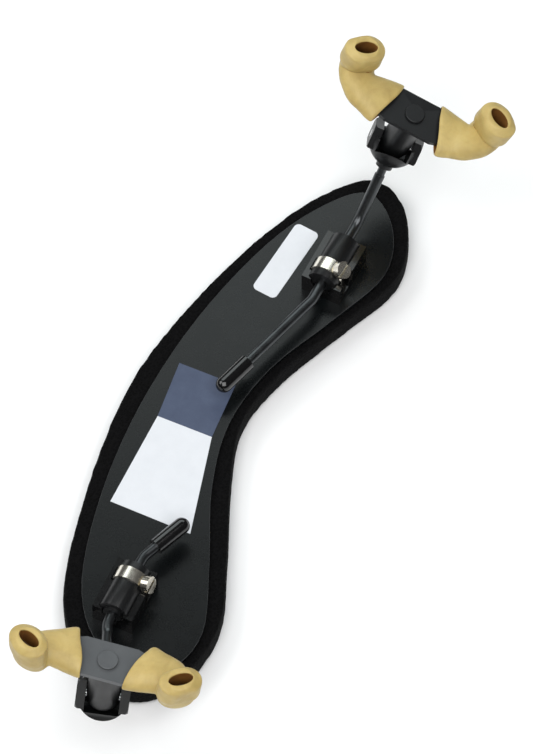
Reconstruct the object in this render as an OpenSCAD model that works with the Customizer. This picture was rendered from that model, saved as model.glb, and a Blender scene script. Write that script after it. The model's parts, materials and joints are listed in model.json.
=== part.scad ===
// Shoulder rest for a large violin or a viola.
// A crescent foam pad and plate carry two clamps, and each clamp holds a bent
// steel leg that ends in a tilting, swivelling fork with two latex grips.
// Origin: centre of the pad's flat underside. X runs along the crescent's
// chord, +Y points to its convex side, +Z points up to the instrument.

/* [Base] */
// Thickness of the foam pad
foam_t = 11; // [8:0.5:14]
// Thickness of the metal plate
plate_t = 2; // [1.5:0.1:2.5]
// Thickness of the paper labels
label_t = 0.2; // [0.1:0.05:0.3]

/* [Legs, left value first] */
// Barrel centre along the plate
leg_x = [-78, 80.5]; // [-90:0.5:90]
// Barrel centre across the plate
leg_y = [-12.5, -26]; // [-30:0.5:0]
// Outward heading of the barrel
leg_yaw = [179, -3]; // [-10:0.5:190]
// Height of the barrel axis above the plate
axis_h = 8.6; // [8.5:0.1:10]
// Diameter of the leg rod
rod_d = 4; // [3.5:0.1:4.5]
// Inside radius plus half the rod at each bend
bend_r = 8; // [6:0.5:12]
// Straight rod from the barrel centre to the first outer bend
out_run = [13, 16]; // [12:0.5:20]
// Sideways angle of the first outer bend
out_side = [24, 0]; // [0:1:30]
// Upward angle of the outer bend
out_rise = [20, 50]; // [10:1:60]
// Direction of the upward bend, 90 is straight up
out_roll = [90, 98]; // [80:1:105]
// Straight rod after the upward bend
out_reach = [23, 17.1]; // [5:0.1:30]
// Straight rod from the barrel centre to the inner bend
in_run = [14, 17]; // [12:0.5:20]
// Sideways angle of the inner bend
in_side = [22, 15]; // [5:0.5:30]
// Length from the inner bend to the tip of the cap
in_reach = [20.5, 51]; // [20:0.5:60]
// Slope of the last stretch of rod, where the cup sits
end_slope = 50; // [40:1:60]
// Straight rod after the left leg's second upward bend
last_reach = 4.7; // [4:0.1:12]

/* [Clamp] */
// Length of the block along the barrel
block_l = 22; // [20:0.5:26]
// Width of the block
block_w = 16; // [15:0.1:20]
// Diameter of the barrel
barrel_d = 11.4; // [11:0.1:12]
// Width of the nickel band
band_w = 5; // [4:0.5:6]
// Centre of the band along the barrel
band_x = -4.5; // [-5:0.1:-4]
// Angle of the clamp screw above the horizontal
screw_up = [21, 44]; // [15:1:60]
// Diameter of the clamp screw's head
screw_head_d = 6.5; // [5.5:0.1:7]

/* [Cap and cup] */
// Length of the vinyl cap
cap_l = 16; // [12:0.5:18]
// Diameter of the vinyl cap
cap_d = 6.2; // [5.5:0.1:7]
// Diameter of the cup's dome
cup_d = 19.2; // [18:0.1:22]
// Turn of the cup about the rod's end at rest
cup_turn = [-7, 14]; // [-30:1:30]
// Diameter of the hub post
hub_d = 12; // [11:0.5:12]
// Height from the tilt pin to the top of the fork
hub_h = 26; // [20:0.5:32]

/* [Fork] */
// Width of the fork's bar
bar_w = 15; // [13:0.5:17]
// Thickness of the fork's sheet
sheet_t = 2; // [1.5:0.1:2.5]
// Turn of the fork about its hub at rest
fork_yaw = [-8, -6.5]; // [-30:0.5:30]
// Length of the bar from the hub to the corner
arm_run = 19.2; // [17:0.1:24]
// Radius of the corner along the arm's middle
corner_r = 7.5; // [7.5:0.1:9]
// Angle of the corner
corner_a = 66; // [60:1:85]
// Height of the metal tip above the bar's top
tip_h = 10.5; // [8:0.5:12]
// Height of the latex grip above the bar's top
grip_h = 15; // [13:0.5:18]

/* [Hidden] */
$fn = 64;
LEFT = 0;
RIGHT = 1;

plate_top = foam_t + plate_t;
axis_z = plate_top + axis_h;
fit = 0.05;             // running clearance of a shaft in its bore, each side

// Outlines of the crescent, clockwise from the left end
pad_knots = [[-110, -27], [-104, -8], [-86, 9], [-48, 19.5], [4, 25], [46, 19],
    [87, 6], [114, -8.5], [126.5, -24], [117, -40], [92, -48], [64, -37],
    [36, -25], [10, -20], [-16, -27], [-46, -39], [-72, -47.5], [-97, -43]];
plate_knots = [[-103, -28], [-96, -8], [-76, 6], [-40, 14.5], [0, 17], [42, 13],
    [82, 2.5], [107, -10.5], [118.5, -24], [108, -38], [88, -43.5], [62, -33.5],
    [34, -21], [6, -16.5], [-22, -22], [-52, -34.5], [-78, -43.5], [-96, -39.5]];

// Labels: corner points on the plate
label_dark_at = [[22, 11], [22, -12], [-2, -13], [-2, 9]];
label_light_at = [[-2, 9], [-2, -13], [-42.5, -22.5], [-42, 10]];
label_small_size = [33, 10];
label_small_at = [78.5, -7.2];
label_small_yaw = -7;
label_small_r = 2;

// Clamp
wall_above = 1.2;       // the cradle's walls reach past the barrel's middle and hold it
end_wall = 1;
barrel_l = block_l - 2 * end_wall - 0.2;
band_t = 0.6;
rod_slot_r = 4.2;
bush_d = 5.6;
bush_l = 3;
flange_d = 7.4;
flange_t = 1.2;
shank_d = 3;
nut_w = 5;
nut_t = 2;
nut_from = 3;           // distance of the nut from the barrel axis
head_from = barrel_d / 2 + band_t + fit;
head_t = 2.8;
slot_w = 0.9;
slot_h = 1.2;
fix_x = 6;              // block screws, either side of the block's middle
fix_d = 2.4;
fix_head_d = 4.6;
fix_head_t = 1.2;
fix_depth = 2;          // how far a block screw goes into the block
// The screw points to the concave side of the crescent on both legs
screw_roll = [90 - screw_up[LEFT], screw_up[RIGHT] - 90];

// Rod end and cup
cup_r = cup_d / 2;
hub_r = hub_d / 2;
thread_d = 3.3;
screw_gap = 0.8;        // the clamp screw stands a turn loose, clear of the rod
collar_d = 6.4;         // round boss where the rod enters the cup
collar_l = 2;
hub_gap = 0.6;          // from the hub's round end to the cup
thread_tip = hub_r + hub_gap + 0.2;
thread_l = cup_r + collar_l / 2 - thread_tip + 4;
neck = thread_tip + thread_l;
ear_gap = 2 * hub_r + 0.6;
ear_t = 3.4;
ear_r = 11.3;           // the ears stand out from the dome to this radius
ear_low = 4;            // the ears reach this far below and above the pin
ear_high = 5;
ear_half = 5.2;
cup_lip = 1.5;
pin_d = 3;
lean_out = 12;          // furthest the hub leans outward and inward of the cup's axis
lean_in = 58;
cap_wall = 3.5;
side_reach = 1;         // straight rod between the left leg's sideways and upward bends
bend_step = 0.04;       // a bend is drawn out this much thinner than the straight rod
bend_lap = 0.3;         // straight rod carried on into each bend
outer_bends = [
    [[0, out_side[LEFT], side_reach], [out_roll[LEFT], out_rise[LEFT], out_reach[LEFT]],
        [0, end_slope - out_rise[LEFT], last_reach]],
    [[out_roll[RIGHT], end_slope, out_reach[RIGHT]]]];

// Fork
washer_t = 0.6;
hub_top = hub_h - sheet_t - washer_t;
rivet_d = 3.6;
rivet_head_d = 7.6;
rivet_head_t = 1;
rivet_l = 7;
arm_w = 8.4;
fold_r = 3;             // bend up at the corner, along the sheet's middle
mouth_y = 10.5;         // inner edge of a grip, along the bar
bar_flat = 9.5;         // half length of the bar's full width

// ---- small tools -------------------------------------------------------

function knot(k, i) = k[(i + len(k)) % len(k)];

// A smooth closed curve through the knots
function curve_point(k, i, t) =
    let (a = knot(k, i - 1), b = knot(k, i), c = knot(k, i + 1), d = knot(k, i + 2))
    0.5 * (2 * b + (c - a) * t + (2 * a - 5 * b + 4 * c - d) * t * t
        + (3 * b - a - 3 * c + d) * t * t * t);
function closed_curve(k, steps = 5) =
    [for (i = [0:len(k) - 1]) for (j = [0:steps - 1]) curve_point(k, i, j / steps)];

// A bar along +X from x = 0, with its ends carried on by extra
module bar_x(d, l, extra = 0) {
    translate([-extra, 0, 0]) rotate([0, 90, 0]) cylinder(d = d, h = l + 2 * extra);
}

function shift(x, y = 0, z = 0) = [[1, 0, 0, x], [0, 1, 0, y], [0, 0, 1, z], [0, 0, 0, 1]];
function roll(a) = [[1, 0, 0, 0], [0, cos(a), -sin(a), 0], [0, sin(a), cos(a), 0], [0, 0, 0, 1]];
function turn(a) = [[cos(a), -sin(a), 0, 0], [sin(a), cos(a), 0, 0], [0, 0, 1, 0], [0, 0, 0, 1]];

// The frame after a bend of angle a from +X toward +Y
function after_bend(a) = shift(0, bend_r) * turn(a) * shift(0, -bend_r);

// The frame at the end of a list of bends, each [roll, angle, straight run]
function bends_end(bends, i = 0) =
    i == len(bends) ? shift(0)
    : roll(bends[i][0]) * after_bend(bends[i][1]) * shift(bends[i][2]) * bends_end(bends, i + 1);

module bent_rod(bends, i = 0) {
    if (i < len(bends)) {
        rotate([bends[i][0], 0, 0]) {
            translate([0, bend_r, 0]) rotate([0, 0, -90])
                rotate_extrude(angle = bends[i][1]) translate([bend_r, 0])
                    circle(d = rod_d - bend_step);
            multmatrix(after_bend(bends[i][1])) {
                bar_x(rod_d, bends[i][2], bend_lap);
                translate([bends[i][2], 0, 0]) bent_rod(bends, i + 1);
            }
        }
    }
}

// ---- places ------------------------------------------------------------

// The barrel's middle, +X outward along the barrel
module at_leg(s) {
    translate([leg_x[s], leg_y[s], axis_z]) rotate([0, 0, leg_yaw[s]]) children();
}

// The inner stretch of the rod, +X inward and away from the bend
module at_inner(s) {
    at_leg(s) translate([-in_run[s], 0, 0]) rotate([0, 0, 180]) rotate([180, 0, 0])
        multmatrix(after_bend(in_side[s])) children();
}

// The tilt pin's middle, +X along the rod's end, +Z along the pin
module at_cup(s) {
    at_leg(s) multmatrix(shift(out_run[s]) * bends_end(outer_bends[s]) * shift(neck))
        rotate([cup_turn[s], 0, 0]) children();
}

// The same point, +Z up the hub, +X outward and +Y along the fork's bar
module at_hub(s) {
    at_cup(s) rotate([0, 0, 90 - end_slope]) rotate([0, 90, 0]) rotate([0, 0, -90]) children();
}

// The middle of the fork's top face
module at_fork(s) {
    at_hub(s) translate([0, 0, hub_h]) rotate([0, 0, fork_yaw[s]]) children();
}

// Along the clamp screw, +Z away from the barrel axis
module at_screw(s) {
    at_leg(s) translate([band_x, 0, 0]) rotate([-screw_roll[s], 0, 0]) children();
}

// ---- base --------------------------------------------------------------

module foam_pad() {
    color("#1b1b1d") linear_extrude(foam_t) polygon(closed_curve(pad_knots));
}

module block_screw_places(s) {
    at_leg(s) for (x = [-fix_x, fix_x]) translate([x, 0, -axis_h - plate_t]) children();
}

module block_screw(extra = 0) {
    cylinder(d1 = fix_head_d, d2 = fix_d, h = fix_head_t);
    cylinder(d = fix_d, h = plate_t + fix_depth + extra);
}

module base_plate() {
    color("#33373a") difference() {
        translate([0, 0, foam_t]) linear_extrude(plate_t) polygon(closed_curve(plate_knots));
        for (s = [LEFT, RIGHT]) block_screw_places(s) block_screw(1);
    }
}

module label(points) {
    translate([0, 0, plate_top]) linear_extrude(label_t) polygon(points);
}

module label_dark() {
    color("#5d6a85") label(label_dark_at);
}

module label_light() {
    color("#e9ebee") label(label_light_at);
}

module label_small() {
    inner = label_small_size - [2, 2] * label_small_r;
    color("#e9ebee") translate([label_small_at[0], label_small_at[1], plate_top])
        rotate([0, 0, label_small_yaw]) linear_extrude(label_t) union() {
            square([label_small_size[0], inner[1]], center = true);
            square([inner[0], label_small_size[1]], center = true);
            for (x = [-0.5, 0.5] * inner[0], y = [-0.5, 0.5] * inner[1])
                translate([x, y]) circle(r = label_small_r);
        }
}

// ---- clamp -------------------------------------------------------------

module block_screws(s) {
    color("#8d8f92") block_screw_places(s) block_screw();
}

module clamp_block(s) {
    notch_l = screw_head_d + 1.2;
    notch_drop = 5.4;
    side = s == LEFT ? 1 : -1;
    color("#101012") difference() {
        at_leg(s) difference() {
            translate([-block_l / 2, -block_w / 2, -axis_h])
                cube([block_l, block_w, axis_h + wall_above]);
            translate([-block_l / 2 + end_wall, 0, 0])
                bar_x(barrel_d + 2 * fit, block_l - 2 * end_wall);
            translate([band_x - band_w / 2 - 0.4, 0, 0])
                bar_x(barrel_d + 2 * band_t + 0.8, band_w + 0.8);
            translate([-block_l, 0, 0]) bar_x(2 * rod_slot_r, 2 * block_l);
            translate([-block_l, -rod_slot_r, 0]) cube([2 * block_l, 2 * rod_slot_r, axis_h]);
            translate([band_x - notch_l / 2, side > 0 ? 0 : -block_w, -notch_drop])
                cube([notch_l, block_w, axis_h + notch_drop]);
        }
        block_screw_places(s) block_screw();
    }
}

module clamp_barrel(s) {
    color("#17171a") difference() {
        at_leg(s) difference() {
            translate([-barrel_l / 2, 0, 0]) bar_x(barrel_d, barrel_l);
            translate([-barrel_l, 0, 0]) bar_x(rod_d + 2 * fit, 2 * barrel_l);
            translate([barrel_l / 2 - bush_l, 0, 0]) bar_x(bush_d, bush_l + 1);
        }
        at_screw(s) {
            cylinder(d = shank_d + 2 * fit, h = barrel_d);
            translate([0, 0, nut_from + nut_t / 2]) cube([nut_w, nut_w, nut_t], center = true);
        }
    }
}

module barrel_bush(s) {
    color("#3a3b3e") at_leg(s) difference() {
        union() {
            translate([barrel_l / 2 - bush_l, 0, 0]) bar_x(bush_d, bush_l);
            translate([barrel_l / 2, 0, 0]) bar_x(flange_d, flange_t);
        }
        bar_x(rod_d + 2 * fit, block_l);
    }
}

module clamp_band(s) {
    band_gap = 1.6;
    color("#c9b98c") difference() {
        at_leg(s) translate([band_x - band_w / 2, 0, 0]) difference() {
            bar_x(barrel_d + 2 * band_t, band_w);
            translate([-1, 0, 0]) bar_x(barrel_d, band_w + 2);
        }
        at_screw(s) {
            cylinder(d = shank_d + 2 * fit, h = barrel_d);
            translate([-band_w, -band_gap / 2, -barrel_d]) cube([2 * band_w, band_gap, barrel_d]);
        }
    }
}

module clamp_nut(s) {
    color("#b9ab80") at_screw(s) difference() {
        translate([0, 0, nut_from + nut_t / 2]) cube([nut_w, nut_w, nut_t], center = true);
        cylinder(d = shank_d + 2 * fit, h = barrel_d);
    }
}

module clamp_screw(s) {
    tip = rod_d / 2 + screw_gap;
    color("#d8cba2") at_screw(s) difference() {
        union() {
            translate([0, 0, tip]) cylinder(d = shank_d, h = head_from - tip);
            translate([0, 0, head_from]) cylinder(d = screw_head_d, h = head_t);
        }
        translate([-screw_head_d, -slot_w / 2, head_from + head_t - slot_h])
            cube([2 * screw_head_d, slot_w, 2 * slot_h]);
    }
}

// ---- leg ---------------------------------------------------------------

module leg_rod(s) {
    color("#55585c") {
        at_leg(s) {
            translate([-in_run[s], 0, 0]) bar_x(rod_d, in_run[s] + out_run[s], bend_lap);
            translate([out_run[s], 0, 0]) bent_rod(outer_bends[s]);
            translate([-in_run[s], 0, 0]) rotate([0, 0, 180])
                bent_rod([[180, in_side[s], in_reach[s] - cap_wall - bend_lap]]);
        }
        at_cup(s) translate([-neck, 0, 0]) bar_x(thread_d, thread_l);
    }
}

module rod_cap(s) {
    color("#0c0c0d") at_inner(s) translate([in_reach[s] - cap_l, 0, 0]) difference() {
        rotate([0, 90, 0]) rotate_extrude() {
            square([cap_d / 2, cap_l - cap_d / 2]);
            translate([0, cap_l - cap_d / 2]) intersection() {
                circle(d = cap_d);
                square(cap_d);
            }
        }
        translate([-1, 0, 0]) bar_x(rod_d, cap_l - cap_wall + 1);
    }
}

module yoke_cup(s) {
    reach = 2 * cup_r;
    r = hub_r + hub_gap;
    ear_out = ear_gap / 2 + ear_t;
    out = [cos(-lean_out), sin(-lean_out)];
    in = [cos(lean_in), sin(lean_in)];
    middle = (lean_in - lean_out) / 2;
    color("#222326") at_cup(s) difference() {
        union() {
            intersection() {
                sphere(r = cup_r, $fn = 96);
                translate([-cup_r, -cup_r, -cup_r]) cube([cup_r + cup_lip, cup_d, cup_d]);
            }
            intersection() {
                sphere(r = ear_r, $fn = 96);
                translate([-ear_low, -ear_half, -ear_out])
                    cube([ear_low + ear_high, 2 * ear_half, 2 * ear_out]);
            }
            translate([-cup_r - collar_l / 2, 0, 0]) bar_x(collar_d, collar_l);
        }
        translate([0, 0, -ear_gap / 2]) linear_extrude(ear_gap) union() {
            circle(r = r);
            polygon([r * [out[1], -out[0]], r * [out[1], -out[0]] + reach * out,
                1.4 * reach * [cos(middle), sin(middle)],
                r * [-in[1], in[0]] + reach * in, r * [-in[1], in[0]]]);
        }
        cylinder(d = pin_d, h = 2 * cup_d, center = true);
        translate([-cup_d, 0, 0]) bar_x(thread_d + 2 * fit, cup_d);
    }
}

module tilt_pin(s) {
    color("#9a9ca0") at_cup(s) cylinder(d = pin_d, h = ear_gap + 2 * ear_t, center = true);
}

module fork_hub(s) {
    color("#1d1e20") at_hub(s) difference() {
        rotate_extrude() {
            square([hub_r, hub_top]);
            mirror([0, 1]) intersection() {
                circle(r = hub_r);
                square(hub_r);
            }
        }
        rotate([90, 0, 0]) cylinder(d = pin_d + 2 * fit, h = cup_d, center = true);
        translate([0, 0, hub_h - rivet_l]) cylinder(d = rivet_d + 2 * fit, h = rivet_l);
    }
}

// ---- fork --------------------------------------------------------------

module fork_washer(s) {
    color("#7d7f83") at_fork(s) translate([0, 0, -sheet_t - washer_t]) difference() {
        cylinder(d = hub_d - 1, h = washer_t);
        translate([0, 0, -1]) cylinder(d = rivet_d, h = washer_t + 2);
    }
}

module fork_rivet(s) {
    color("#2b2d30") at_fork(s) {
        translate([0, 0, -rivet_l + 0.2]) cylinder(d = rivet_d, h = rivet_l - 0.2);
        cylinder(d = rivet_head_d, h = rivet_head_t);
    }
}

// Frames along a fork arm, each [point, across, up], in the fork's own frame.
// The arm runs along +Y, turns a corner toward +X and then folds upward.
mid_z = -sheet_t / 2;
corner_end = [corner_r * (1 - cos(corner_a)), arm_run + corner_r * sin(corner_a), mid_z];
corner_dir = [sin(corner_a), cos(corner_a), 0];
corner_across = [-cos(corner_a), sin(corner_a), 0];
fold_end = corner_end + fold_r * (corner_dir + [0, 0, 1]);
UP = [0, 0, 1];
function on_bar(y) = [[0, y, mid_z], [-1, 0, 0], UP];
function on_corner(a) =
    [[corner_r * (1 - cos(a)), arm_run + corner_r * sin(a), mid_z], [-cos(a), sin(a), 0], UP];
function on_fold(a) =
    [corner_end + fold_r * (sin(a) * corner_dir + (1 - cos(a)) * UP), corner_across,
        cos(a) * UP - sin(a) * corner_dir];
function on_tip(h) = [[fold_end[0], fold_end[1], h], corner_across, -corner_dir];

// Half of the flat sheet's outline: the bar's edge, then round the corner and back
function corner_arc(r, angles) = [for (a = angles) [corner_r - r * cos(a), arm_run + r * sin(a)]];
half_outline = concat([[-bar_w / 2, bar_flat]],
    corner_arc(corner_r + arm_w / 2, [0:corner_a / 8:corner_a]),
    corner_arc(corner_r - arm_w / 2, [corner_a:-corner_a / 8:0]),
    [[bar_w / 2, bar_flat]]);

// The bent-up tab seen from its side, x ahead and y up from the sheet's middle
function fold_arc(r, angles) = [for (a = angles) [r * sin(a), fold_r - r * cos(a)]];
fold_outline = concat([[-1, -sheet_t / 2]], fold_arc(fold_r + sheet_t / 2, [0:10:90]),
    [[fold_r + sheet_t / 2, tip_h - mid_z], [fold_r - sheet_t / 2, tip_h - mid_z]],
    fold_arc(fold_r - sheet_t / 2, [90:-10:0]), [[-1, sheet_t / 2]]);

module fork_tab() {
    translate(corner_end) rotate([0, 0, 90 - corner_a]) rotate([90, 0, 0])
        linear_extrude(arm_w - 2 * fit, center = true) polygon(fold_outline);
}

module fork_plate(s) {
    mirrored = [for (i = [len(half_outline) - 1:-1:0]) [half_outline[i][0], -half_outline[i][1]]];
    color(s == LEFT ? "#5c5f62" : "#2a2c2f") at_fork(s) difference() {
        union() {
            translate([0, 0, -sheet_t]) linear_extrude(sheet_t)
                polygon(concat(half_outline, mirrored));
            fork_tab();
            mirror([0, 1, 0]) fork_tab();
        }
        translate([0, 0, -2 * sheet_t]) cylinder(d = rivet_d, h = 3 * sheet_t);
    }
}

// ---- grips -------------------------------------------------------------

// Stations along a grip: [frame, half width, half thickness, of its inside, lean]
grip_stations = concat(
    [[on_bar(mouth_y), [9, 4.2], [8.2, 3.2], 0.3],
        [on_bar(mouth_y + 1.2), [9.1, 4.6], [8.1, 3.2], 0.3],
        [on_bar(15), [8.3, 4.7], [6.9, 3.1], 0.2],
        [on_bar(arm_run), [7.2, 4.7], [5.4, 2.7], 0]],
    [for (a = [25, 50]) [on_corner(a), [7.1, 4.8], [5, 2.5], 0]],
    [for (a = [0, 30, 60, 90]) [on_fold(a), [6.9, 4.9], [4.9, 2.4], 0]],
    [[on_tip(grip_h - 4), [6.7, 5.1], [4.9, 2.3], 0],
        [on_tip(grip_h - 0.8), [6.7, 5.1], [4.9, 2.3], 0],
        [on_tip(grip_h), [6.2, 4.6], [4.8, 2.3], 0]]);
ring_n = 20;

function grip_ring(station, half) =
    let (across = station[0][1], up = station[0][2], ahead = cross(across, up))
    [for (i = [0:ring_n - 1]) let (u = half[0] * cos(i * 360 / ring_n))
        station[0][0] + u * across + half[1] * sin(i * 360 / ring_n) * up
            + station[3] * u * ahead];

module grip_tube() {
    n = len(grip_stations);
    rings = concat(
        [for (i = [0:n - 1]) grip_ring(grip_stations[i], grip_stations[i][1])],
        [for (i = [n - 1:-1:0]) grip_ring(grip_stations[i], grip_stations[i][2])]);
    faces = [for (i = [0:2 * n - 1], j = [0:ring_n - 1])
        let (i2 = (i + 1) % (2 * n), j2 = (j + 1) % ring_n)
        each [[i * ring_n + j, i2 * ring_n + j, i2 * ring_n + j2],
            [i * ring_n + j, i2 * ring_n + j2, i * ring_n + j2]]];
    polyhedron([for (ring = rings) each ring], faces);
}

module grip_front(s) {
    color("#d9c184") at_fork(s) mirror([0, s == LEFT ? 0 : 1, 0]) grip_tube();
}

module grip_back(s) {
    color("#d9c184") at_fork(s) mirror([0, s == LEFT ? 1 : 0, 0]) grip_tube();
}

foam_pad();
base_plate();
label_dark();
label_light();
label_small();
clamp_block(LEFT);  // clamp_block_left
block_screws(LEFT);  // block_screws_left
clamp_barrel(LEFT);  // clamp_barrel_left
barrel_bush(LEFT);  // barrel_bush_left
clamp_band(LEFT);  // clamp_band_left
clamp_nut(LEFT);  // clamp_nut_left
clamp_screw(LEFT);  // clamp_screw_left
leg_rod(LEFT);  // leg_rod_left
rod_cap(LEFT);  // rod_cap_left
yoke_cup(LEFT);  // yoke_cup_left
tilt_pin(LEFT);  // tilt_pin_left
fork_hub(LEFT);  // fork_hub_left
fork_washer(LEFT);  // fork_washer_left
fork_plate(LEFT);  // fork_plate_left
fork_rivet(LEFT);  // fork_rivet_left
grip_front(LEFT);  // grip_tube_left_front
grip_back(LEFT);  // grip_tube_left_back
clamp_block(RIGHT);  // clamp_block_right
block_screws(RIGHT);  // block_screws_right
clamp_barrel(RIGHT);  // clamp_barrel_right
barrel_bush(RIGHT);  // barrel_bush_right
clamp_band(RIGHT);  // clamp_band_right
clamp_nut(RIGHT);  // clamp_nut_right
clamp_screw(RIGHT);  // clamp_screw_right
leg_rod(RIGHT);  // leg_rod_right
rod_cap(RIGHT);  // rod_cap_right
yoke_cup(RIGHT);  // yoke_cup_right
tilt_pin(RIGHT);  // tilt_pin_right
fork_hub(RIGHT);  // fork_hub_right
fork_washer(RIGHT);  // fork_washer_right
fork_plate(RIGHT);  // fork_plate_right
fork_rivet(RIGHT);  // fork_rivet_right
grip_front(RIGHT);  // grip_tube_right_front
grip_back(RIGHT);  // grip_tube_right_back
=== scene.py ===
"""A shoulder rest for a large violin or a viola: foam pad, painted plate, two clamps,
bent steel legs and two latex-gripped forks, seen from above on a pale floor."""
import json

import bmesh
import bpy
from mathutils import Matrix, Vector
from mathutils.bvhtree import BVHTree

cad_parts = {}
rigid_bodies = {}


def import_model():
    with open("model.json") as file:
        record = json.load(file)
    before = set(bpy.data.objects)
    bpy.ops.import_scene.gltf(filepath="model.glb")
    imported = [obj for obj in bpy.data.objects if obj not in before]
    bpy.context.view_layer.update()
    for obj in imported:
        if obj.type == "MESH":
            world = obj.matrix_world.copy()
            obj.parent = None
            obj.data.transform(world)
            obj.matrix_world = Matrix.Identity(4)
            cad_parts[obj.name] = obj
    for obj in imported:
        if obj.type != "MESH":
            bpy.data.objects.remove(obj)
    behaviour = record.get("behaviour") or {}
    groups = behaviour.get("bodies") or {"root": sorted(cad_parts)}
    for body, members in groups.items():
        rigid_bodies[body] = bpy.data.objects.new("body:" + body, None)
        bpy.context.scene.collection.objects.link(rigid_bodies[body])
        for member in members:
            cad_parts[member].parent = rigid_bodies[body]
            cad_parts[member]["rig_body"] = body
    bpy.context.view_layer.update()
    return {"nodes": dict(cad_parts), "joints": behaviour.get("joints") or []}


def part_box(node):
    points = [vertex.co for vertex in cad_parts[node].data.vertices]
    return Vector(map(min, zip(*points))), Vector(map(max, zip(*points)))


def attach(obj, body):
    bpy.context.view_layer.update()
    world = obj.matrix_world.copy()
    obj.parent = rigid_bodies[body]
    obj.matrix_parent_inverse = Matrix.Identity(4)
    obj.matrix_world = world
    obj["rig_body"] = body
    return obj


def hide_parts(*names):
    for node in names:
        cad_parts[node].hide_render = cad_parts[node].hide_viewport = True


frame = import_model()

MM = 0.001
SIDES = ("left", "right")

# Angles between faces in radians: below the first they are one flat face, above the second
# their edge is rounded over
SAME_FACE = 0.01
SHARP_EDGE = 0.6

# Where the camera looks, from the origin of the row frame
LOOK_AT = Vector((26.2, -23.4, 21.3)) * MM
LOOK_DIRECTION = Vector((0.457, 0.203, -0.866)).normalized()
CAMERA_RIGHT = Vector((0.407, -0.914, 0.0)).normalized()
CAMERA_DISTANCE = 3.0
LENS = 386.7


# ---- materials -----------------------------------------------------------

class Surface:
    """A node material under construction, with textures in the object's own coordinates."""

    def __init__(self, name, **settings):
        self.material = bpy.data.materials.new(name)
        self.material.use_nodes = True
        self.tree = self.material.node_tree
        self.shader = self.tree.nodes["Principled BSDF"]
        self.coords = self.tree.nodes.new("ShaderNodeTexCoord").outputs["Object"]
        for key, value in settings.items():
            self.shader.inputs[key.replace("_", " ")].default_value = value
        self.height = None

    def link(self, output, socket):
        self.tree.links.new(output, socket)

    def stretched(self, scale):
        mapping = self.tree.nodes.new("ShaderNodeMapping")
        mapping.inputs["Scale"].default_value = scale
        self.link(self.coords, mapping.inputs["Vector"])
        return mapping.outputs["Vector"]

    def noise(self, size_mm, detail=4.0, rough=0.55, stretch=(1, 1, 1), warp=0.0):
        node = self.tree.nodes.new("ShaderNodeTexNoise")
        self.link(self.stretched(stretch), node.inputs["Vector"])
        node.inputs["Scale"].default_value = 1 / (size_mm * MM)
        node.inputs["Detail"].default_value = detail
        node.inputs["Roughness"].default_value = rough
        node.inputs["Distortion"].default_value = warp
        return node.outputs["Fac"]

    def cells(self, size_mm):
        node = self.tree.nodes.new("ShaderNodeTexVoronoi")
        self.link(self.coords, node.inputs["Vector"])
        node.inputs["Scale"].default_value = 1 / (size_mm * MM)
        return node.outputs["Distance"]

    def remap(self, value, low, high, to_low, to_high):
        node = self.tree.nodes.new("ShaderNodeMapRange")
        self.link(value, node.inputs["Value"])
        for key, number in zip(("From Min", "From Max", "To Min", "To Max"),
                               (low, high, to_low, to_high)):
            node.inputs[key].default_value = number
        return node.outputs["Result"]

    def ramp(self, value, *stops):
        node = self.tree.nodes.new("ShaderNodeValToRGB")
        self.link(value, node.inputs["Fac"])
        elements = node.color_ramp.elements
        while len(elements) < len(stops):
            elements.new(0.5)
        for element, (place, colour) in zip(elements, stops):
            element.position = place
            element.color = (*colour, 1)
        return node.outputs["Color"]

    def blend(self, factor, first, second):
        """From the colour output first to the plain colour second, as factor rises."""
        node = self.tree.nodes.new("ShaderNodeMix")
        node.data_type = "RGBA"
        colour_a, colour_b, mixed = node.inputs[6], node.inputs[7], node.outputs[2]
        self.link(factor, node.inputs["Factor"])
        self.link(first, colour_a)
        colour_b.default_value = (*second, 1)
        return mixed

    def colour(self, output):
        self.link(output, self.shader.inputs["Base Color"])

    def roughness(self, value, low, high):
        self.link(self.remap(value, 0.3, 0.7, low, high), self.shader.inputs["Roughness"])

    def bump(self, value, depth_mm, strength=1.0):
        node = self.tree.nodes.new("ShaderNodeBump")
        node.inputs["Strength"].default_value = strength
        node.inputs["Distance"].default_value = depth_mm * MM
        self.link(value, node.inputs["Height"])
        if self.height is not None:
            self.link(self.height, node.inputs["Normal"])
        self.height = node.outputs["Normal"]
        self.link(self.height, self.shader.inputs["Normal"])


def sponge():
    s = Surface("foam", Roughness=0.95, Specular_IOR_Level=0.06,
                Sheen_Weight=0.01, Sheen_Roughness=0.6)
    s.colour(s.ramp(s.cells(0.9), (0.05, (0.0012, 0.0012, 0.0013)),
                    (0.7, (0.0042, 0.0041, 0.0044))))
    s.bump(s.noise(9, detail=3), 0.3)
    s.bump(s.cells(0.9), 0.3, 0.9)
    s.bump(s.cells(0.45), 0.12, 0.8)
    return s.material


def plate_paint():
    s = Surface("plate_paint", Specular_IOR_Level=0.32)
    s.colour(s.ramp(s.noise(30, detail=8), (0.35, (0.0014, 0.0020, 0.0023)),
                    (0.65, (0.0020, 0.0029, 0.0033))))
    s.roughness(s.noise(8, detail=9, rough=0.7), 0.25, 0.30)
    s.bump(s.noise(0.7, detail=2), 0.02, 0.6)
    s.bump(s.noise(40, detail=1), 0.1, 0.4)
    return s.material


def label_film(name, light, dark, roughness):
    s = Surface(name, Roughness=roughness, Specular_IOR_Level=0.4)
    s.colour(s.ramp(s.noise(7, detail=9, rough=0.7), (0.3, dark), (0.7, light)))
    s.bump(s.noise(0.5, detail=3), 0.012, 0.7)
    s.bump(s.noise(14, detail=1), 0.08, 0.5)
    return s.material


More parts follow.
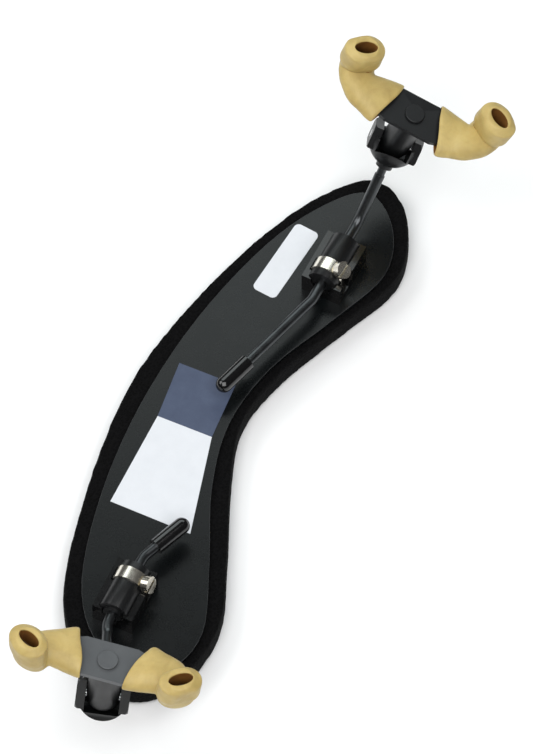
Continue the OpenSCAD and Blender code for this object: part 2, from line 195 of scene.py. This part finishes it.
def moulded(name, base, light, roughness, coat=0.0, grain_mm=0.4, grain_depth=0.006):
    s = Surface(name, Coat_Weight=coat, Coat_Roughness=0.08, Specular_IOR_Level=0.35)
    s.colour(s.ramp(s.noise(6, detail=6), (0.35, base), (0.65, light)))
    s.roughness(s.noise(5, detail=8, rough=0.6), roughness, roughness + 0.08)
    s.bump(s.noise(grain_mm, detail=2), grain_depth, 0.4)
    s.bump(s.noise(14, detail=1), 0.1, 0.3)
    return s.material


def metal(name, base, dull, roughness, brush=(1, 1, 1)):
    """brush stretches the fine scratches: the smaller the number, the longer along that axis."""
    s = Surface(name, Metallic=1.0)
    s.colour(s.ramp(s.noise(6, detail=7, rough=0.6), (0.3, dull), (0.6, base)))
    s.roughness(s.noise(3, detail=8, rough=0.6), roughness, roughness + 0.08)
    s.bump(s.noise(0.6, detail=4, stretch=brush), 0.0025, 0.5)
    return s.material


def coated_sheet(name, base, light):
    s = Surface(name, Specular_IOR_Level=0.4)
    s.colour(s.ramp(s.noise(9, detail=6, rough=0.5), (0.35, base), (0.68, light)))
    s.roughness(s.noise(4, detail=8, rough=0.6), 0.36, 0.44)
    s.bump(s.noise(0.35, detail=2), 0.006, 0.5)
    s.bump(s.noise(14, detail=1), 0.06, 0.3)
    return s.material


def latex(name, base, shade, pale):
    s = Surface(name, Specular_IOR_Level=0.42, Subsurface_Weight=0.12,
                Subsurface_Radius=(1.0, 0.55, 0.25), Subsurface_Scale=0.0012)
    mottled = s.ramp(s.noise(9, detail=5, rough=0.6, warp=0.4), (0.3, shade), (0.55, base),
                     (0.78, pale))
    s.colour(s.blend(s.remap(s.cells(0.8), 0.05, 0.25, 0.25, 0), mottled, shade))
    s.roughness(s.noise(2.2, detail=7), 0.42, 0.58)
    s.bump(s.noise(0.5, detail=3), 0.018, 0.7)
    s.bump(s.noise(5, detail=2), 0.12, 0.45)
    return s.material


def all_materials():
    return {
        "foam": sponge(),
        "plate_paint": plate_paint(),
        "label_dark": label_film("label_dark", (0.060, 0.080, 0.135), (0.043, 0.058, 0.105), 0.5),
        "label_light": label_film("label_light", (0.69, 0.71, 0.745), (0.65, 0.67, 0.705), 0.45),
        "black_gloss": moulded("black_gloss", (0.0012, 0.0012, 0.0014), (0.0025, 0.0025, 0.0028),
                               0.16, coat=0.4),
        "black_satin": moulded("black_satin", (0.0035, 0.0038, 0.0042), (0.0058, 0.0062, 0.0068),
                               0.33),
        "nickel": metal("nickel", (0.86, 0.82, 0.73), (0.72, 0.67, 0.57), 0.17,
                        brush=(1, 0.15, 0.15)),
        "zinc": metal("zinc", (0.55, 0.56, 0.57), (0.33, 0.34, 0.34), 0.26),
        "rod_steel": metal("rod_steel", (0.075, 0.080, 0.083), (0.058, 0.061, 0.064), 0.27,
                           brush=(0.2, 1, 1)),
        "vinyl": moulded("vinyl", (0.0012, 0.0012, 0.0014), (0.0025, 0.0025, 0.0028), 0.14,
                         coat=0.6, grain_mm=2.5, grain_depth=0.02),
        # One fork coating, twice: fork_black for the right fork, and a lighter copy on the left
        # fork as painted light, standing for the light its face catches. The lighter worn copy is
        # the edge wear of worn_black with the same painted light
        "fork_grey": coated_sheet("fork_grey", (0.070, 0.075, 0.080), (0.084, 0.090, 0.095)),
        "fork_black": coated_sheet("fork_black", (0.0045, 0.0050, 0.0057),
                                   (0.0060, 0.0066, 0.0074)),
        "worn_grey": coated_sheet("worn_grey", (0.11, 0.115, 0.12), (0.20, 0.205, 0.21)),
        "worn_black": coated_sheet("worn_black", (0.010, 0.0105, 0.0115), (0.028, 0.029, 0.031)),
        "latex": latex("latex", (0.50, 0.375, 0.132), (0.40, 0.29, 0.095), (0.57, 0.44, 0.170)),
        # Latex painted dark brown, twice: painted shade on the fork tabs sunk in the grips, and
        # on the hollows inside the tubes
        "latex_tab_painted_shade": latex("latex_tab_painted_shade", (0.060, 0.026, 0.008), (0.035, 0.015, 0.005),
                            (0.080, 0.036, 0.011)),
        "latex_hollow_painted_shade": latex("latex_hollow_painted_shade", (0.25, 0.110, 0.024), (0.14, 0.055, 0.013),
                              (0.33, 0.15, 0.035)),
    }


# ---- pieces made from the frame ------------------------------------------

def new_piece(name, mesh, node, materials):
    """A mesh that stands for a CAD node and rides on its body."""
    piece = bpy.data.objects.new(name, mesh)
    bpy.context.scene.collection.objects.link(piece)
    mesh.materials.clear()
    for slot in materials:
        mesh.materials.append(finishes[slot])
    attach(piece, frame["nodes"][node]["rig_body"])
    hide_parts(node)
    return piece


def welded_copy(node):
    """The node's mesh as one closed skin of flat faces, without its sharp-edge data."""
    mesh = bpy.data.meshes.new(f"{node}_mesh")
    bm = bmesh.new()
    bm.from_mesh(frame["nodes"][node].data)
    bmesh.ops.remove_doubles(bm, verts=bm.verts, dist=0.004 * MM)
    bm.to_mesh(mesh)
    bm.free()
    mesh.materials.clear()
    # An empty slot for the part's own finish and one for the faces that a bevel adds
    for _ in range(2):
        mesh.materials.append(None)
    return mesh


def applied(mesh, *modifiers):
    """The mesh with modifiers applied, each a (type, settings) pair."""
    holder = bpy.data.objects.new("holder", mesh)
    bpy.context.scene.collection.objects.link(holder)
    for kind, settings in modifiers:
        modifier = holder.modifiers.new(kind, kind)
        for key, value in settings.items():
            setattr(modifier, key, value)
    graph = bpy.context.evaluated_depsgraph_get()
    result = bpy.data.meshes.new_from_object(holder.evaluated_get(graph))
    bpy.data.objects.remove(holder)
    return result


def shade_smooth(mesh):
    for polygon in mesh.polygons:
        polygon.use_smooth = True


def eased(node, slot, width_mm, edge=None):
    """A hard part with its sharp edges rounded over, and a worn finish along them."""
    mesh = applied(
        welded_copy(node),
        ("DECIMATE", {"decimate_type": "DISSOLVE", "angle_limit": SAME_FACE}),
        ("BEVEL", {"width": width_mm * MM, "segments": 3, "limit_method": "ANGLE",
                   "angle_limit": SHARP_EDGE, "use_clamp_overlap": True,
                   "miter_outer": "MITER_ARC", "harden_normals": True,
                   "material": 1 if edge else -1}))
    worn_faces = [polygon.index for polygon in mesh.polygons if polygon.material_index == 1]
    new_piece(f"{node}_finished", mesh, node, [slot, edge] if edge else [slot])
    for index in worn_faces:
        mesh.polygons[index].material_index = 1 if edge else 0


def foam_cushion():
    """The sponge pad: crowned sides and a soft, slightly uneven skin, flat underneath."""
    low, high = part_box("foam_pad")
    mesh = applied(
        welded_copy("foam_pad"),
        ("REMESH", {"mode": "VOXEL", "voxel_size": 1.1 * MM}),
        ("SMOOTH", {"factor": 0.5, "iterations": 9}))
    dents = bpy.data.textures.new("sponge_dents", "CLOUDS")
    dents.noise_scale = 16 * MM
    pores = bpy.data.textures.new("sponge_pores", "CLOUDS")
    pores.noise_scale = 1.6 * MM
    mesh = applied(
        mesh,
        ("SUBSURF", {"levels": 1}),
        ("DISPLACE", {"texture": dents, "strength": 0.35 * MM, "mid_level": 0.5}),
        ("DISPLACE", {"texture": pores, "strength": 0.16 * MM, "mid_level": 0.5}))
    for vertex in mesh.vertices:
        vertex.co.z = min(max(vertex.co.z, low.z), high.z - 0.02 * MM)
    shade_smooth(mesh)
    piece = new_piece("foam_pad_cushion", mesh, "foam_pad", ["foam"])


def rising(value, low, high):
    """0 below low, 1 above high, and a smooth rise between."""
    share = min(max((value - low) / (high - low), 0), 1)
    return share * share * (3 - 2 * share)


def fork_frame(side):
    """The top of a fork's rivet, the way up from it, and the way out to the violin's edge."""
    swivel = next(j for j in frame["joints"] if j["name"] == f"fork_swivel_{side}")
    centre = Vector(swivel["pos_m"])
    up = Vector(swivel["axis"]).normalized()
    outward = Vector((centre.x, 0, 0)).normalized()
    return centre, up, (outward - outward.dot(up) * up).normalized()


def swell_grip(mesh, side):
    """Bulges the grip's heel, bows its mouth and fills out its tip.

    It works in millimetres in the fork's own frame: x outward, y along the bar, z up.
    """
    centre, up, outward = fork_frame(side)
    middle = sum((v.co for v in mesh.vertices), Vector()) / len(mesh.vertices) - centre
    along = up.cross(outward)
    along = along if along.dot(middle) > 0 else -along
    places = [(vertex.co - centre) / MM for vertex in mesh.vertices]
    places = [(p.dot(outward), p.dot(along), p.dot(up)) for p in places]
    tip = [(x, y) for x, y, z in places if z > 10]
    tip_low = [min(values) for values in zip(*tip)]
    tip_high = [max(values) for values in zip(*tip)]
    for vertex, (x, y, z) in zip(mesh.vertices, places):
        # The sleeve on the bar: its heel bulges inward, its mouth bows and its corner draws in
        on_bar = rising(y, 8, 13) * (1 - rising(y, 24, 31))
        heel = 1.8 * on_bar * rising(-x, 0, 9) * (1 - rising(z, 2, 8))
        bow = 1.3 * (1 - min((x / 9) ** 2, 1)) * (1 - rising(y, 9, 15))
        drawn_in = 1.6 * rising(-x, 3, 9) * (1 - rising(y, 9, 14))
        splay = 0.6 * rising(z, 0, 15)
        # The upright tip: its outer wall is fuller than its hole, and its rim rounds over
        off_x = x - (tip_low[0] + tip_high[0]) / 2
        off_y = y - (tip_low[1] + tip_high[1]) / 2
        reach = ((2 * off_x / (tip_high[0] - tip_low[0])) ** 2
                 + (2 * off_y / (tip_high[1] - tip_low[1])) ** 2)
        on_tip = rising(y, 17, 21) * rising(z, 1, 6)
        wall = rising(reach, 0.62, 0.95)
        fuller = on_tip * (0.04 + 0.18 * wall) * off_x
        thicker = on_tip * (0.30 * wall - 0.12) * off_y
        rounded = 1.6 * on_tip * wall * rising(z, 11, 16)
        vertex.co += MM * ((drawn_in - heel + fuller) * outward
                           + (splay - bow + thicker) * along - rounded * up)


def sunken_tabs(side):
    """The fork's upright tabs sit deep in the latex, in its shade."""
    tab_from = 3 * MM
    sunk = 0.35
    centre, up, _ = fork_frame(side)
    mesh = bpy.data.objects[f"fork_plate_{side}_finished"].data
    # A slot of painted shade: the tab faces inside the grips are coloured a near-black latex
    # brown
    mesh.materials.append(finishes["latex_tab_painted_shade"])
    deep = len(mesh.materials) - 1
    for polygon in mesh.polygons:
        if (polygon.center - centre).dot(up) > tab_from:
            polygon.material_index = deep
    for vertex in mesh.vertices:
        rise = (vertex.co - centre).dot(up)
        vertex.co -= sunk * max(rise - tab_from, 0) * up


def latex_grip(node, side):
    """A moulded latex tube, its skin rounded and its hollow inside painted a darker brown as
    painted shade.
    """
    mesh = welded_copy(node)
    bm = bmesh.new()
    bm.from_mesh(mesh)
    bmesh.ops.join_triangles(bm, faces=bm.faces, angle_face_threshold=1.2,
                             angle_shape_threshold=1.2)
    bm.to_mesh(mesh)
    bm.free()
    swell = bpy.data.textures.new(f"{node}_swell", "CLOUDS")
    swell.noise_scale = 6 * MM
    mesh = applied(
        mesh,
        ("SUBSURF", {"levels": 3}),
        ("DISPLACE", {"texture": swell, "strength": 0.25 * MM, "mid_level": 0.5}))
    shade_smooth(mesh)
    new_piece(f"{node}_skin", mesh, node, ["latex", "latex_hollow_painted_shade"])
    # Faces that look toward the fork's metal line the hollow and take the darker brown: painted
    # shade inside the tube
    metal = frame["nodes"][f"fork_plate_{side}"].data
    metal_tree = BVHTree.FromPolygons([v.co for v in metal.vertices],
                                      [p.vertices for p in metal.polygons])
    for polygon in mesh.polygons:
        nearest = metal_tree.find_nearest(polygon.center)[0]
        polygon.material_index = 1 if polygon.normal.dot(nearest - polygon.center) > 0 else 0
    swell_grip(mesh, side)


def build_pieces():
    foam_cushion()
    eased("base_plate", "plate_paint", 0.55, edge="worn_black")
    # The left fork and its rivet take the lighter copy of the coating and of its worn edges as
    # painted light; the right ones take the black
    for side, shade in zip(SIDES, ("grey", "black")):
        eased(f"clamp_block_{side}", "black_gloss", 0.45)
        eased(f"clamp_barrel_{side}", "black_satin", 0.3)
        eased(f"fork_rivet_{side}", f"fork_{shade}", 0.35)
        eased(f"yoke_cup_{side}", "black_satin", 0.35)
        eased(f"fork_plate_{side}", f"fork_{shade}", 0.3, edge=f"worn_{shade}")
        sunken_tabs(side)
        for end in ("front", "back"):
            latex_grip(f"grip_tube_{side}_{end}", side)


def finish_cad_nodes():
    """Every CAD node that still shows gets the finish of its own slot."""
    for node in frame["nodes"].values():
        for slot in node.material_slots:
            if slot.material.name.split(".")[0] in finishes:
                slot.material = finishes[slot.material.name.split(".")[0]]


# ---- studio --------------------------------------------------------------

def floor():
    mesh = bpy.data.meshes.new("floor")
    half = 4.0
    mesh.from_pydata([(-half, -half, 0), (half, -half, 0), (half, half, 0), (-half, half, 0)],
                     [], [(0, 1, 2, 3)])
    piece = bpy.data.objects.new("floor", mesh)
    bpy.context.scene.collection.objects.link(piece)
    piece.location.z = -0.0002
    s = Surface("floor_paper", Roughness=0.9, Specular_IOR_Level=0.1)
    s.colour(s.ramp(s.noise(60, detail=3), (0.3, (0.93, 0.93, 0.935)),
                    (0.7, (0.95, 0.95, 0.955))))
    mesh.materials.append(s.material)


def softbox(name, place, width, height, power, target=(0, 0, 0.02), colour=(1, 1, 1)):
    """A rectangular light of that many watts, facing the target."""
    light = bpy.data.lights.new(name, "AREA")
    light.shape = "RECTANGLE"
    light.size = width
    light.size_y = height
    light.energy = power
    light.color = colour
    piece = bpy.data.objects.new(name, light)
    bpy.context.scene.collection.objects.link(piece)
    piece.location = place
    piece.rotation_euler = (Vector(target) - Vector(place)).to_track_quat("-Z", "Y").to_euler()


def studio():
    world = bpy.data.worlds.new("studio")
    world.use_nodes = True
    background = world.node_tree.nodes["Background"]
    background.inputs["Color"].default_value = (1, 1, 1, 1)
    background.inputs["Strength"].default_value = 0.1
    bpy.context.scene.world = world
    bpy.context.scene.view_settings.view_transform = "Standard"
    softbox("camera_side", (-0.55, -0.3, 1.25), 1.3, 1.3, 20)
    softbox("convex_side", (-0.25, 0.8, 0.9), 0.8, 0.6, 5)
    softbox("sheen_on_plate", (0.53, 0.18, 0.62), 0.9, 0.42, 2.5, target=(0.08, 0, 0.01),
            colour=(0.92, 1, 1))


def camera():
    data = bpy.data.cameras.new("camera")
    data.lens = LENS
    data.clip_end = 20
    piece = bpy.data.objects.new("camera", data)
    bpy.context.scene.collection.objects.link(piece)
    up = CAMERA_RIGHT.cross(LOOK_DIRECTION)
    piece.matrix_world = (Matrix.Translation(LOOK_AT - LOOK_DIRECTION * CAMERA_DISTANCE)
                          @ Matrix((CAMERA_RIGHT, up, -LOOK_DIRECTION)).transposed().to_4x4())
    bpy.context.scene.camera = piece


finishes = all_materials()
build_pieces()
finish_cad_nodes()
floor()
studio()
camera()
